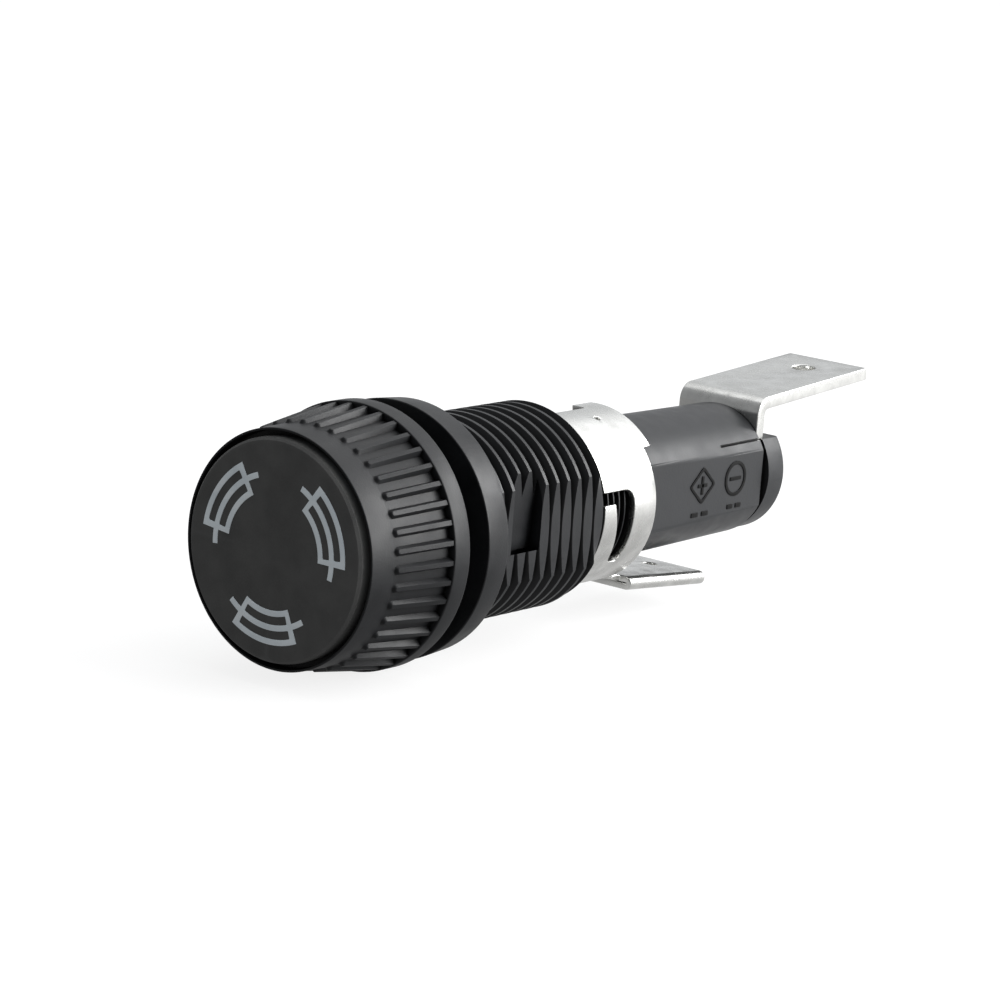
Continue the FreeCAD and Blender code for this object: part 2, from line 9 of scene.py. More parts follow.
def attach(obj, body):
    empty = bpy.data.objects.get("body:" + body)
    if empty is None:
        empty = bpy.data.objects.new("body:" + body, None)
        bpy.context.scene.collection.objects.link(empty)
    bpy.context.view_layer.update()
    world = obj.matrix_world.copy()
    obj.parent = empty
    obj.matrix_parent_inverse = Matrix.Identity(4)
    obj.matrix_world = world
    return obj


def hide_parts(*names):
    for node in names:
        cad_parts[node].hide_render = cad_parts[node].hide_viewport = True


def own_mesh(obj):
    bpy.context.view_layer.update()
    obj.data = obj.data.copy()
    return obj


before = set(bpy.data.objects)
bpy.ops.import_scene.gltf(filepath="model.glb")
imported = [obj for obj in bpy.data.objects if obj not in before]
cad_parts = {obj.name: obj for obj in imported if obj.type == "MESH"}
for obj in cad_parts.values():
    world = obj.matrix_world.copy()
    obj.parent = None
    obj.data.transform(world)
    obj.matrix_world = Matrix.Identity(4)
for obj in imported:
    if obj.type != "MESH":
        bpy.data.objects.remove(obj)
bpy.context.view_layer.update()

# All shapes are written in millimetres in the row frame and scaled at the end:
# Y is the holder's axis, the knob faces -Y, and the origin is at the panel's plane.
MM = 0.001
TURN = 2 * math.pi
SHARP = math.radians(24)


# ---------------------------------------------------------------- materials

def new_material(name):
    material = bpy.data.materials.new(name)
    material.use_nodes = True
    tree = material.node_tree
    shader = tree.nodes["Principled BSDF"]
    coordinates = tree.nodes.new("ShaderNodeTexCoord")
    return material, tree, shader, coordinates.outputs["Object"]


def noise(tree, where, scale, detail=3.0, stretch=None):
    """A noise field, scale in cells per metre, optionally stretched along an axis."""
    texture = tree.nodes.new("ShaderNodeTexNoise")
    texture.inputs["Scale"].default_value = scale
    texture.inputs["Detail"].default_value = detail
    if stretch:
        mapping = tree.nodes.new("ShaderNodeMapping")
        mapping.inputs["Scale"].default_value = stretch
        tree.links.new(where, mapping.inputs["Vector"])
        where = mapping.outputs["Vector"]
    tree.links.new(where, texture.inputs["Vector"])
    return texture.outputs["Fac"]


def spread(tree, field, low, high, start=0.3, end=0.7):
    """Map a field's values from start to end on to low to high."""
    node = tree.nodes.new("ShaderNodeMapRange")
    node.inputs["From Min"].default_value = start
    node.inputs["From Max"].default_value = end
    node.inputs["To Min"].default_value = low
    node.inputs["To Max"].default_value = high
    tree.links.new(field, node.inputs["Value"])
    return node.outputs["Result"]


def two_tone(tree, field, dark, light):
    ramp = tree.nodes.new("ShaderNodeValToRGB")
    ramp.color_ramp.elements[0].position = 0.3
    ramp.color_ramp.elements[1].position = 0.7
    ramp.color_ramp.elements[0].color = (*dark, 1)
    ramp.color_ramp.elements[1].color = (*light, 1)
    tree.links.new(field, ramp.inputs["Fac"])
    return ramp.outputs["Color"]


def blended(tree, colour, other, amount):
    """The colour mixed with one other fixed colour by a field."""
    mix = tree.nodes.new("ShaderNodeMix")
    mix.data_type = "RGBA"
    mix.inputs[7].default_value = (*other, 1)
    tree.links.new(amount, mix.inputs[0])
    tree.links.new(colour, mix.inputs[6])
    return mix.outputs[2]


def worn_edges(tree, colour, wear):
    """Lighten the convex edges, where handling has polished the surface."""
    geometry = tree.nodes.new("ShaderNodeNewGeometry")
    amount = spread(tree, geometry.outputs["Pointiness"], 0.0, 0.6, 0.52, 0.6)
    return blended(tree, colour, wear, amount)


def bump(tree, shader, fields):
    """Stack bumps, each a (field, height in metres, strength)."""
    previous = None
    for field, height, strength in fields:
        node = tree.nodes.new("ShaderNodeBump")
        node.inputs["Distance"].default_value = height
        node.inputs["Strength"].default_value = strength
        tree.links.new(field, node.inputs["Height"])
        if previous:
            tree.links.new(previous, node.inputs["Normal"])
        previous = node.outputs["Normal"]
    tree.links.new(previous, shader.inputs["Normal"])


def painted_recess_shade(tree, colour, reach):
    """Paint shade into sheltered places by ambient occlusion, beyond what the lamps do."""
    shelter = tree.nodes.new("ShaderNodeAmbientOcclusion")
    shelter.only_local = True
    shelter.samples = 8
    shelter.inputs["Distance"].default_value = reach
    amount = spread(tree, shelter.outputs["AO"], 0.95, 0.0, 0.5, 0.95)
    return blended(tree, colour, (0.001, 0.001, 0.001), amount)


def painted_light_beyond(tree, where, colour, painted_light_tone, station):
    """Painted light: blend to a paler tone behind a station along Y, given in metres."""
    split = tree.nodes.new("ShaderNodeSeparateXYZ")
    tree.links.new(where, split.inputs["Vector"])
    amount = spread(tree, split.outputs["Y"], 0.0, 1.0, station, station + 0.0008)
    return blended(tree, colour, painted_light_tone, amount)


def plastic(name, dark, light, wear, rough, grain=9000, height=0.000012, specular=0.5,
            shelter=0.0, painted_light_tone=None, painted_light_from=0.0):
    """Moulded thermoplastic: slight mottling, fine grain and lighter rubbed edges, with optional
    painted light behind a station and painted shade in recesses.
    """
    material, tree, shader, where = new_material(name)
    cloud = noise(tree, where, 700)
    fine = noise(tree, where, grain, 2.0)
    colour = two_tone(tree, cloud, dark, light)
    # painted light: a paler tone behind a station along Y
    if painted_light_tone:
        colour = painted_light_beyond(tree, where, colour, painted_light_tone, painted_light_from)
    colour = worn_edges(tree, colour, wear)
    # painted shade: recesses darkened by ambient occlusion
    if shelter:
        colour = painted_recess_shade(tree, colour, shelter)
    tree.links.new(colour, shader.inputs["Base Color"])
    tree.links.new(spread(tree, cloud, rough[0], rough[1]), shader.inputs["Roughness"])
    shader.inputs["Specular IOR Level"].default_value = specular
    bump(tree, shader, [(fine, height, 0.5), (noise(tree, where, 1800), height, 0.3)])
    return material


def metal(name, dark, light, rough, scale=1200, height=0.000006):
    """Plated sheet metal with cloudy plating and fine rolling marks."""
    material, tree, shader, where = new_material(name)
    cloud = noise(tree, where, scale, 5.0)
    lines = noise(tree, where, 2500, 2.0, (1, 0.12, 1))
    tree.links.new(two_tone(tree, cloud, dark, light), shader.inputs["Base Color"])
    tree.links.new(spread(tree, cloud, rough[1], rough[0]), shader.inputs["Roughness"])
    shader.inputs["Metallic"].default_value = 1.0
    bump(tree, shader, [(lines, height, 0.35), (noise(tree, where, 900), height, 0.4)])
    return material


def glass(name):
    """Clear glass with faint unevenness."""
    material, tree, shader, where = new_material(name)
    cloud = noise(tree, where, 500)
    shader.inputs["Base Color"].default_value = (0.97, 0.99, 0.98, 1)
    shader.inputs["Transmission Weight"].default_value = 1.0
    shader.inputs["IOR"].default_value = 1.47
    tree.links.new(spread(tree, cloud, 0.01, 0.05), shader.inputs["Roughness"])
    bump(tree, shader, [(cloud, 0.000004, 0.2)])
    return material


# the tube is painted paler than the barrel of the same moulding, as painted light on it, and its
# recesses get painted shade
BODY_PLASTIC = plastic("holder_plastic", (0.008, 0.0085, 0.0095), (0.012, 0.0125, 0.014),
                       (0.018, 0.019, 0.021), (0.34, 0.46), specular=0.25, shelter=0.0006,
                       painted_light_tone=(0.024, 0.025, 0.027), painted_light_from=0.0168)
# painted shade in the knob's recesses, by ambient occlusion
KNOB_PLASTIC = plastic("knob_plastic", (0.009, 0.0095, 0.0105), (0.013, 0.0135, 0.015),
                       (0.022, 0.023, 0.025), (0.40, 0.50), specular=0.24, shelter=0.0003)
FACE_PLASTIC = plastic("face_plastic", (0.072, 0.072, 0.071), (0.095, 0.095, 0.093),
                       (0.10, 0.10, 0.10), (0.6, 0.72), grain=7000, height=0.00003,
                       specular=0.2)
INK = plastic("printed_ink", (0.72, 0.79, 0.84), (0.84, 0.91, 0.95), (0.9, 0.94, 0.97),
              (0.5, 0.65), specular=0.3)
RAISED_MARKS = plastic("embossed_marks", (0.003, 0.003, 0.003), (0.006, 0.006, 0.006),
                       (0.01, 0.01, 0.01), (0.5, 0.6), specular=0.1)
TIN = metal("tin_plate", (0.57, 0.57, 0.555), (0.79, 0.79, 0.77), (0.18, 0.32), 900)
NICKEL = metal("nickel_plate", (0.56, 0.54, 0.50), (0.66, 0.64, 0.59), (0.22, 0.34),
               height=0.0000025)
SPRING_STEEL = metal("spring_steel", (0.42, 0.42, 0.42), (0.56, 0.56, 0.56), (0.25, 0.35))
CAP_PLATE = metal("cap_plate", (0.60, 0.59, 0.56), (0.72, 0.71, 0.68), (0.2, 0.32),
                  height=0.0000025)
SOLDER = metal("solder", (0.40, 0.40, 0.40), (0.55, 0.55, 0.55), (0.35, 0.55))
COPPER = metal("fuse_wire_metal", (0.72, 0.68, 0.62), (0.85, 0.82, 0.78), (0.25, 0.35))
GLASS = glass("clear_glass")


# ---------------------------------------------------------------- mesh helpers

def mesh_of(name, points, faces):
    """A mesh object in millimetres with doubled points merged and normals outward."""
    data = bpy.data.meshes.new(name)
    work = bmesh.new()
    corners = [work.verts.new(point) for point in points]
    for face in faces:
        distinct = list(dict.fromkeys(face))
        if len(distinct) > 2:
            work.faces.new([corners[index] for index in distinct])
    tidy(work)
    work.to_mesh(data)
    work.free()
    made = bpy.data.objects.new(name, data)
    bpy.context.scene.collection.objects.link(made)
    return made


def tidy(work):
    """Merge doubled points, drop slivers and loose points, and turn the normals outward."""
    bmesh.ops.remove_doubles(work, verts=work.verts, dist=0.0008)
    bmesh.ops.dissolve_degenerate(work, edges=work.edges, dist=0.0004)
    bmesh.ops.delete(work, geom=[v for v in work.verts if not v.link_faces], context="VERTS")
    bmesh.ops.recalc_face_normals(work, faces=work.faces)


def cleaned(data):
    """Tidy a mesh that a curve or a boolean has made."""
    work = bmesh.new()
    work.from_mesh(data)
    tidy(work)
    work.to_mesh(data)
    work.free()
    return data


def finished(made, name, body, slot, material, nodes=(), sharp=SHARP):
    """Scale a millimetre mesh to metres, shade it and hand it to its CAD body."""
    made.name = name
    made.data.name = name
    made.data.transform(Matrix.Scale(MM, 4))
    made.data.polygons.foreach_set("use_smooth", [True] * len(made.data.polygons))
    made.data.set_sharp_from_angle(angle=sharp)
    made.data.materials.clear()
    made.data.materials.append(material)
    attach(made, body)
    if nodes:
        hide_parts(*nodes)
    return made


def joined(objects):
    """One object from several, each already a closed shell."""
    work = bmesh.new()
    for item in objects:
        work.from_mesh(item.data)
    data = objects[0].data
    work.to_mesh(data)
    work.free()
    for item in objects[1:]:
        bpy.data.objects.remove(item)
    return objects[0]


def cut_away(made, cutters):
    """Subtract each closed cutter and keep the result as plain mesh."""
    work = bmesh.new()
    work.from_mesh(made.data)
    bmesh.ops.triangulate(work, faces=work.faces)  # bent quads would leave cracks
    work.to_mesh(made.data)
    work.free()
    for cutter in cutters:
        modifier = made.modifiers.new("cut", "BOOLEAN")
        modifier.operation = "DIFFERENCE"
        modifier.solver = "EXACT"
        modifier.object = cutter
    graph = bpy.context.evaluated_depsgraph_get()
    result = bpy.data.meshes.new_from_object(made.evaluated_get(graph))
    made.modifiers.clear()
    made.data = cleaned(result)
    for cutter in cutters:
        bpy.data.objects.remove(cutter)
    return made


def prism(outline, axis, low, high):
    """A closed prism from an outline of (a, b) corners, along x, y or z."""
    place = {
        "x": lambda a, b, h: (h, a, b),
        "y": lambda a, b, h: (a, h, b),
        "z": lambda a, b, h: (a, b, h),
    }[axis]
    count = len(outline)
    points = [place(a, b, h) for h in (low, high) for a, b in outline]
    sides = [(i, (i + 1) % count, count + (i + 1) % count, count + i) for i in range(count)]
    ends = [tuple(range(count)), tuple(range(2 * count - 1, count - 1, -1))]
    return mesh_of("cutter", points, sides + ends)


def arc(centre, radius, start, end, steps):
    """Points along an arc, angles in degrees."""
    angles = np.radians(np.linspace(start, end, steps + 1))
    return [(centre[0] + radius * math.cos(a), centre[1] + radius * math.sin(a)) for a in angles]


def eased(outline, radius, steps=4, closed=True):
    """The outline with every corner rounded; radius is one number or one per corner."""
    count = len(outline)
    radii = radius if isinstance(radius, (list, tuple)) else [radius] * count
    result = []
    for index in range(count):
        corner = Vector(outline[index])
        if not closed and index in (0, count - 1):
            result.append(tuple(corner))
            continue
        before = Vector(outline[index - 1]) - corner
        after = Vector(outline[(index + 1) % count]) - corner
        reach = min(radii[index], 0.45 * before.length, 0.45 * after.length)
        if reach < 1e-5:
            result.append(tuple(corner))
            continue
        a = corner + before.normalized() * reach
        b = corner + after.normalized() * reach
        for step in range(steps + 1):
            t = step / steps
            result.append(tuple(a * (1 - t) ** 2 + corner * 2 * t * (1 - t) + b * t ** 2))
    return result


def ringed(angles, rows):
    """Points round Y. Each row is (radius, station), numbers or one value per angle."""
    columns = len(angles)
    cosine, sine = np.cos(angles), np.sin(angles)
    points = []
    for radius, station in rows:
        radius = np.broadcast_to(np.asarray(radius, float), (columns,))
        station = np.broadcast_to(np.asarray(station, float), (columns,))
        points += list(zip(radius * cosine, station, radius * sine))
    return points


def skin(name, angles, rows, closed=False):
    """A skin round Y over the rows, which meet again at the start if it is closed."""
    columns = len(angles)
    points = ringed(angles, rows)
    count = len(rows)
    faces = []
    for row in range(count if closed else count - 1):
        following = (row + 1) % count
        for column in range(columns):
            right = (column + 1) % columns
            faces.append((row * columns + column, row * columns + right,
                          following * columns + right, following * columns + column))
    return mesh_of(name, points, faces)


def lathed(name, outline, edge=0.06, segments=96, closed=False):
    """A turned piece from (radius, station) corners with softened edges."""
    angles = np.linspace(0, TURN, segments, endpoint=False)
    return skin(name, angles, eased(outline, edge, 3, closed), closed)


def plate(name, loops, thickness, edge):
    """A flat plate with rounded edges: the first loop is its outline, the others are holes."""
    curve = bpy.data.curves.new(name, "CURVE")
    curve.dimensions = "2D"
    curve.fill_mode = "BOTH"
    curve.extrude = thickness / 2 - edge
    curve.bevel_depth = edge
    curve.bevel_resolution = 2
    curve.offset = -edge
    for loop in loops:
        spline = curve.splines.new("POLY")
        spline.points.add(len(loop) - 1)
        for point, (a, b) in zip(spline.points, loop):
            point.co = (a, b, 0, 1)
        spline.use_cyclic_u = True
    holder = bpy.data.objects.new(name, curve)
    bpy.context.scene.collection.objects.link(holder)
    graph = bpy.context.evaluated_depsgraph_get()
    graph.update()
    data = cleaned(bpy.data.meshes.new_from_object(holder.evaluated_get(graph)))
    bpy.data.objects.remove(holder)
    made = bpy.data.objects.new(name, data)
    bpy.context.scene.collection.objects.link(made)
    return made


def bent(made, lines_across, lines_along, place):
    """Score a plate along lines of constant u and v, then put each (u, v, w) in place."""
    work = bmesh.new()
    work.from_mesh(made.data)
    for index, lines in enumerate((lines_across, lines_along)):
        normal = (1, 0, 0) if index == 0 else (0, 1, 0)
        for line in lines:
            point = tuple(line * n for n in normal)
            geometry = work.verts[:] + work.edges[:] + work.faces[:]
            bmesh.ops.bisect_plane(work, geom=geometry, dist=1e-5, plane_co=point,
                                   plane_no=normal)
    for vertex in work.verts:
        vertex.co = place(*vertex.co)
    bmesh.ops.triangulate(work, faces=[f for f in work.faces if len(f.verts) > 4])
    tidy(work)
    work.to_mesh(made.data)
    work.free()
    return made


def along_path(corners, radii):
    """A function from (length, offset) to a point beside a bent line of 2-D corners."""
    line = [Vector(corners[0])]
    for index in range(1, len(corners) - 1):
        corner = Vector(corners[index])
        back = (Vector(corners[index - 1]) - corner).normalized()
        ahead = (Vector(corners[index + 1]) - corner).normalized()
        half = math.acos(max(-1, min(1, back.dot(ahead)))) / 2
        reach = radii[index - 1] / math.tan(half)
        middle = corner + (back + ahead).normalized() * radii[index - 1] / math.sin(half)
        first = corner + back * reach - middle
        last = corner + ahead * reach - middle
        sweep = math.atan2(first.x * last.y - first.y * last.x, first.dot(last))
        for step in range(13):
            turn = Matrix.Rotation(sweep * step / 12, 2)
            line.append(middle + turn @ first)
    line.append(Vector(corners[-1]))
    lengths = [0.0]
    for a, b in zip(line, line[1:]):
        lengths.append(lengths[-1] + (b - a).length)

    def at(length, offset):
        index = 0
        while index < len(line) - 2 and length > lengths[index + 1]:
            index += 1
        heading = (line[index + 1] - line[index]).normalized()
        before = (line[index] - line[index - 1]).normalized() if index else heading
        is_last = index >= len(line) - 2
        after = heading if is_last else (line[index + 2] - line[index + 1]).normalized()
        span = lengths[index + 1] - lengths[index]
        t = (length - lengths[index]) / span
        point = line[index] + heading * (length - lengths[index])
        start_normal = (before + heading).normalized()
        end_normal = (heading + after).normalized()
        mixed = start_normal * (1 - t) + end_normal * t if 0 <= t <= 1 else heading
        side = Vector((-mixed.y, mixed.x)).normalized()
        return point + side * offset

    return at, lengths


# ---------------------------------------------------------------- knob

KNURLS = 42
RIM_RADIUS = 7.929
KNURL_FRONT, KNURL_REAR = -9.62, -5.3
RIB_BASE, RIB_TOP = 0.29, 0.13  # half widths at a rib's foot and top
KNURL_RADIUS = 7.4
SLEEVE_RADIUS, LUG_RADIUS = 4.45, 5.2
LUG_MIDDLES, LUG_HALF_SWEEP = (48, 228), 11  # degrees


def knob_angles():
    """Angles that follow both edges of every rib."""
    period = TURN / KNURLS
    base = RIB_BASE / KNURL_RADIUS
    top = RIB_TOP / KNURL_RADIUS
    offsets = [0.0]
    for step in (0.6 * top, top, 0.5 * (top + base), base, base + 0.3 * (period / 2 - base)):
        offsets += [step, -step]
    offsets.append(period / 2)
    found = [index * period + offset for index in range(KNURLS) for offset in offsets]
    return np.array(sorted(angle % TURN for angle in found))


def ribbed(angles, station):
    """Radius of the knurled cone at one station."""
    period = TURN / KNURLS
    across = np.abs((angles + period / 2) % period - period / 2) * KNURL_RADIUS
    share = (station - KNURL_FRONT) / (KNURL_REAR - KNURL_FRONT)
    base = 7.05 + 0.42 * share
    height = 0.20 + 0.17 * share
    tip = KNURL_FRONT + RIB_BASE
    ahead = np.minimum(station - tip, 0.0)
    inside = RIB_BASE - np.hypot(across, ahead)
    ramp = np.clip(inside / (RIB_BASE - RIB_TOP), 0, 1)
    return base + height * ramp * ramp * (3 - 2 * ramp)


def make_knob_shell():
    angles = knob_angles()
    lug = np.zeros(len(angles), bool)
    for middle in LUG_MIDDLES:
        gap = np.abs((np.degrees(angles) - middle + 180) % 360 - 180)
        lug |= gap < LUG_HALF_SWEEP
    front = [(0.95, -10.1), (2.2, -10.1), (2.2, -10.6), (6.85, -10.6), (6.85, -11.45),
             (7.0, -11.45), (7.05, KNURL_FRONT - 0.02)]
    rows = eased(front, [0, 0.05, 0.05, 0.05, 0.07, 0.1, 0], 4, False)
    fine = list(np.arange(KNURL_FRONT, KNURL_FRONT + 0.42, 0.035))
    coarse = list(np.linspace(KNURL_FRONT + 0.5, KNURL_REAR, 8))
    rows += [(ribbed(angles, y), y) for y in fine + coarse]
    rows += eased([(7.7, KNURL_REAR), (RIM_RADIUS, KNURL_REAR), (RIM_RADIUS, -3.9), (6.7, -3.9),
                   (6.7, -8.4), (5.4, -8.4), (5.4, -3.9), (SLEEVE_RADIUS, -3.9),
                   (SLEEVE_RADIUS, -1.5)],
                  [0, 0.12, 0.16, 0.1, 0.1, 0.1, 0.1, 0.1, 0], 4, False)[1:]
    lugged = np.where(lug, LUG_RADIUS, SLEEVE_RADIUS)
    rows += [(lugged, -1.5), (lugged, -0.5), (SLEEVE_RADIUS, -0.5)]
    rows += eased([(SLEEVE_RADIUS, -0.4), (SLEEVE_RADIUS, 7.5), (3.7, 7.5), (3.7, -9.4), (0.95, -9.4)],
                  [0, 0.1, 0.1, 0.05, 0], 4, False)
    return skin("knob_shell_look", angles, rows, True)


finished(make_knob_shell(), "knob_shell_look", "knob", "knob_plastic", KNOB_PLASTIC,
         ["knob_shell"])

face_disc = lathed("face_disc", [(0, -11.9), (6.52, -11.9), (6.52, -10.6), (0, -10.6)],
                   [0, 0.42, 0.05, 0], 144)
finished(face_disc, "knob_face_look", "knob", "face_plastic", FACE_PLASTIC, ["knob_face_disc"])


def ring_piece(inner, outer, middle, sweep, ease=0.08):
    """Outline of a curved bar round the face, angles in degrees."""
    half = sweep / 2
    loop = arc((0, 0), outer, middle - half, middle + half, 18)
    loop += arc((0, 0), inner, middle + half, middle - half, 18)
    radii = [0.0] * len(loop)
    for corner in (0, 18, 19, 37):
        radii[corner] = ease
    return eased(loop, radii, 3)


STROKE = 0.34
MARK_INNER, MARK_MIDDLE, MARK_OUTER = 3.4, 4.4, 5.4
FRAME_HALF, LINE_HALF = 27, 38  # degrees each side of a symbol's middle


def make_face_marks():
    """Three generic fuse symbols: a frame with a line through it, bent along the face."""
    parts = []
    for middle in (27, 147, 267):
        line_in, line_out = MARK_MIDDLE - STROKE / 2, MARK_MIDDLE + STROKE / 2
        left, right = middle - FRAME_HALF, middle + FRAME_HALF
        line_left, line_right = middle - LINE_HALF, middle + LINE_HALF
        inside = 2 * FRAME_HALF - 2 * math.degrees(STROKE / MARK_MIDDLE)
        hole_top = ring_piece(line_out, MARK_OUTER - STROKE, middle, inside)
        hole_bottom = ring_piece(MARK_INNER + STROKE, line_in, middle, inside)
        outline = arc((0, 0), MARK_OUTER, left, right, 18)
        outline += arc((0, 0), line_out, right, line_right, 5)
        outline += arc((0, 0), line_in, line_right, right, 5)
        outline += arc((0, 0), MARK_INNER, right, left, 18)
        outline += arc((0, 0), line_in, left, line_left, 5)
        outline += arc((0, 0), line_out, line_left, left, 5)
        parts.append(plate("mark", [outline, hole_top, hole_bottom], 0.05, 0.012))
    return bent(joined(parts), [], [], lambda u, v, w: (u, -11.915 + w, v))


finished(make_face_marks(), "face_marks_look", "knob", "face_ink", INK, ["face_marks"])


# ---------------------------------------------------------------- holder body

THREAD_CREST, THREAD_ROOT, PITCH = 6.35, 5.5, 1.058
FLANK = (THREAD_CREST - THREAD_ROOT) / (0.5 * PITCH - 0.15)
THREAD_START, THREAD_END = 0.02, 11.7
ACROSS_FLATS, TUBE_HALF_WIDTH = 5.68, 3.85
FLANGE_FRONT = -2.0
TUBE_FRONT_RADIUS, COLLAR_RADIUS = 4.45, 4.15
SEAT_RADIUS, SEAT_GROOVE = 5.1, 4.5
SEAT_RIBS, SEAT_RIB_STEP = 7, 0.56


def body_angles():
    """Even angles round the body, with the corners of its flats added."""
    corners = [math.acos(ACROSS_FLATS / THREAD_CREST), math.acos(TUBE_HALF_WIDTH / TUBE_FRONT_RADIUS)]
    special = [side + sign * corner for side in (0, math.pi) for sign in (1, -1)
               for corner in corners]
    plain = np.linspace(0, TURN, 288, endpoint=False)
    kept = [a for a in plain if all(abs((a - s + math.pi) % TURN - math.pi) > 0.006
                                    for s in special)]
    return np.array(sorted(kept + [s % TURN for s in special]))


def flat_limit(angles, half_width):
    """Radius at which each angle meets the two flats at X plus and minus half_width."""
    return half_width / np.maximum(np.abs(np.cos(angles)), 0.05)


def thread_rows(angles):
    """Rows that climb with the helix and meet the flats exactly; ends collapse to a ring."""
    turns = int((THREAD_END - THREAD_START) / PITCH) + 3
    limit = np.minimum(flat_limit(angles, ACROSS_FLATS), THREAD_CREST)
    rise = (limit - THREAD_ROOT) / FLANK
    soft = np.minimum(0.035, rise / 2)
    phases = [
        (0 * rise, 0 * rise),
        (rise - soft, limit - THREAD_ROOT - soft * FLANK),
        (rise + soft * 0.8, limit - THREAD_ROOT),
        (PITCH - rise - soft * 0.8, limit - THREAD_ROOT),
        (PITCH - rise + soft, limit - THREAD_ROOT - soft * FLANK),
    ]
    rows = []
    for turn in range(turns):
        for phase, height in phases:
            station = THREAD_START + phase + PITCH * (turn - angles / TURN)
            fade_in = np.clip((station - THREAD_START) / 0.25, 0, 1)
            end_cap = np.clip((THREAD_END - station) / 0.75, 0, 1)
            top = np.minimum(height * fade_in, (THREAD_CREST - THREAD_ROOT) * end_cap)
            rows.append((THREAD_ROOT + top, np.clip(station, THREAD_START, THREAD_END)))
    return rows, len(phases)


def body_blank():
    """The body as one skin: bore, flange, helical thread, ribbed seat, tube and collar."""
    angles = body_angles()
    columns = len(angles)
    before = eased([(0, 31.4), (3.4, 31.4), (3.4, 17), (3.85, 17), (3.85, 8.6), (4.6, 8.6),
                    (4.6, FLANGE_FRONT), (7.75, FLANGE_FRONT), (7.6, 0), (THREAD_ROOT, 0)],
                   [0, 0.1, 0.1, 0.1, 0.1, 0.1, 0.2, 0.1, 0.12, 0], 5, False)
    spiral, per_turn = thread_rows(angles)
    after = [(THREAD_ROOT, THREAD_END), (SEAT_RADIUS, THREAD_END)]
    for rib in range(SEAT_RIBS):
        start = 12.35 + SEAT_RIB_STEP * rib
        after += [(SEAT_RADIUS, start), (SEAT_GROOVE, start + 0.06), (SEAT_GROOVE, start + 0.40),
                  (SEAT_RADIUS, start + 0.46)]
    after += [(SEAT_RADIUS, 17.22), (5.02, 17.3)]
    side = flat_limit(angles, TUBE_HALF_WIDTH)
    for station, radius in ((17.3, 4.45), (17.31, 4.45), (22, 4.38), (26.5, 4.31), (30.8, 4.25),
                            (31.1, 4.23)):
        after.append((np.minimum(radius, side), station))
    after += [(COLLAR_RADIUS, 31.15), (COLLAR_RADIUS, 31.9)]
    after += eased([(COLLAR_RADIUS, 31.95), (COLLAR_RADIUS, 33.2), (0, 33.2)], [0, 0.3, 0], 5,
                   False)
    rows = before + spiral + after
    points = ringed(angles, rows)
    first, last = len(before), len(before) + len(spiral) - 1
    faces = []
    for row in range(len(rows) - 1):
        in_spiral = first <= row < last
        for column in range(columns):
            right = (column + 1) % columns
            low, high = row, row + 1
            if right == 0 and in_spiral:  # the helix has climbed one turn by the seam
                low = max(row - per_turn, first)
                high = max(row + 1 - per_turn, first)
            faces.append((row * columns + column, low * columns + right,
                          high * columns + right, (row + 1) * columns + column))
    return mesh_of("holder_body_look", points, faces)


def opposite(outline):
    """The same (x, z) outline on the other side of the axis."""
    return [(-a, -b) for a, b in outline]


def sector_prism(middle, sweep, radius, low, high):
    start, end = middle - sweep / 2, middle + sweep / 2
    outline = arc((0, 0), radius, start, end, 12) + arc((0, 0), 3.9, end, start, 12)
    return prism(outline, "y", low, high)


def make_holder_body():
    blank = body_blank()
    # sloped floor that ends in an undercut slit
    window = [(5.2, 3.9), (4.8, -1.07), (4.3, -1.1), (4.3, -1.6), (5.7, -1.03), (9, -1.03),
              (9, 3.9)]
    cutters = [prism(window, "y", 2.7, 5.45), prism(opposite(window), "y", 2.7, 5.45)]
    line = [(3.3, 2.4), (3.9, 2.38), (3.9, 2.56), (3.3, 2.54)]
    cutters.append(prism(line, "y", 26.5, 31.0))
    cutters.append(prism([(30.95, -2.6), (31.85, -2.6), (31.85, 9), (30.95, 9)], "x", -3.2, 3.2))
    cutters.append(prism([(30.96, -3.1), (31.36, -3.1), (31.36, 9), (30.96, 9)], "x", -9, 9))
    cutters.append(prism([(31.3, 2.4), (34, 2.4), (34, 9), (31.3, 9)], "x", -9, 9))
    cutters.append(prism([(12.7, -1.3), (16.5, -1.3), (16.5, 1.3), (12.7, 1.3)], "x", -9, -3.0))
    for middle in LUG_MIDDLES:
        cutters.append(sector_prism(middle, 28, 5.3, -3, -1.5))
        cutters.append(sector_prism(middle - 25, 78, 5.3, -1.6, 0.4))
    return cut_away(blank, cutters)


finished(make_holder_body(), "holder_body_look", "holder", "black_plastic", BODY_PLASTIC,
         ["holder_body"])


def stroke_loop(outline, width):
    """An outline and the hole inside it, for a mark drawn with one stroke."""
    middle = Vector((sum(a for a, _ in outline), sum(b for _, b in outline))) / len(outline)
    inner = []
    for point in outline:
        away = Vector(point) - middle
        inner.append(tuple(middle + away * (1 - width / away.length)))
    return [outline, inner]


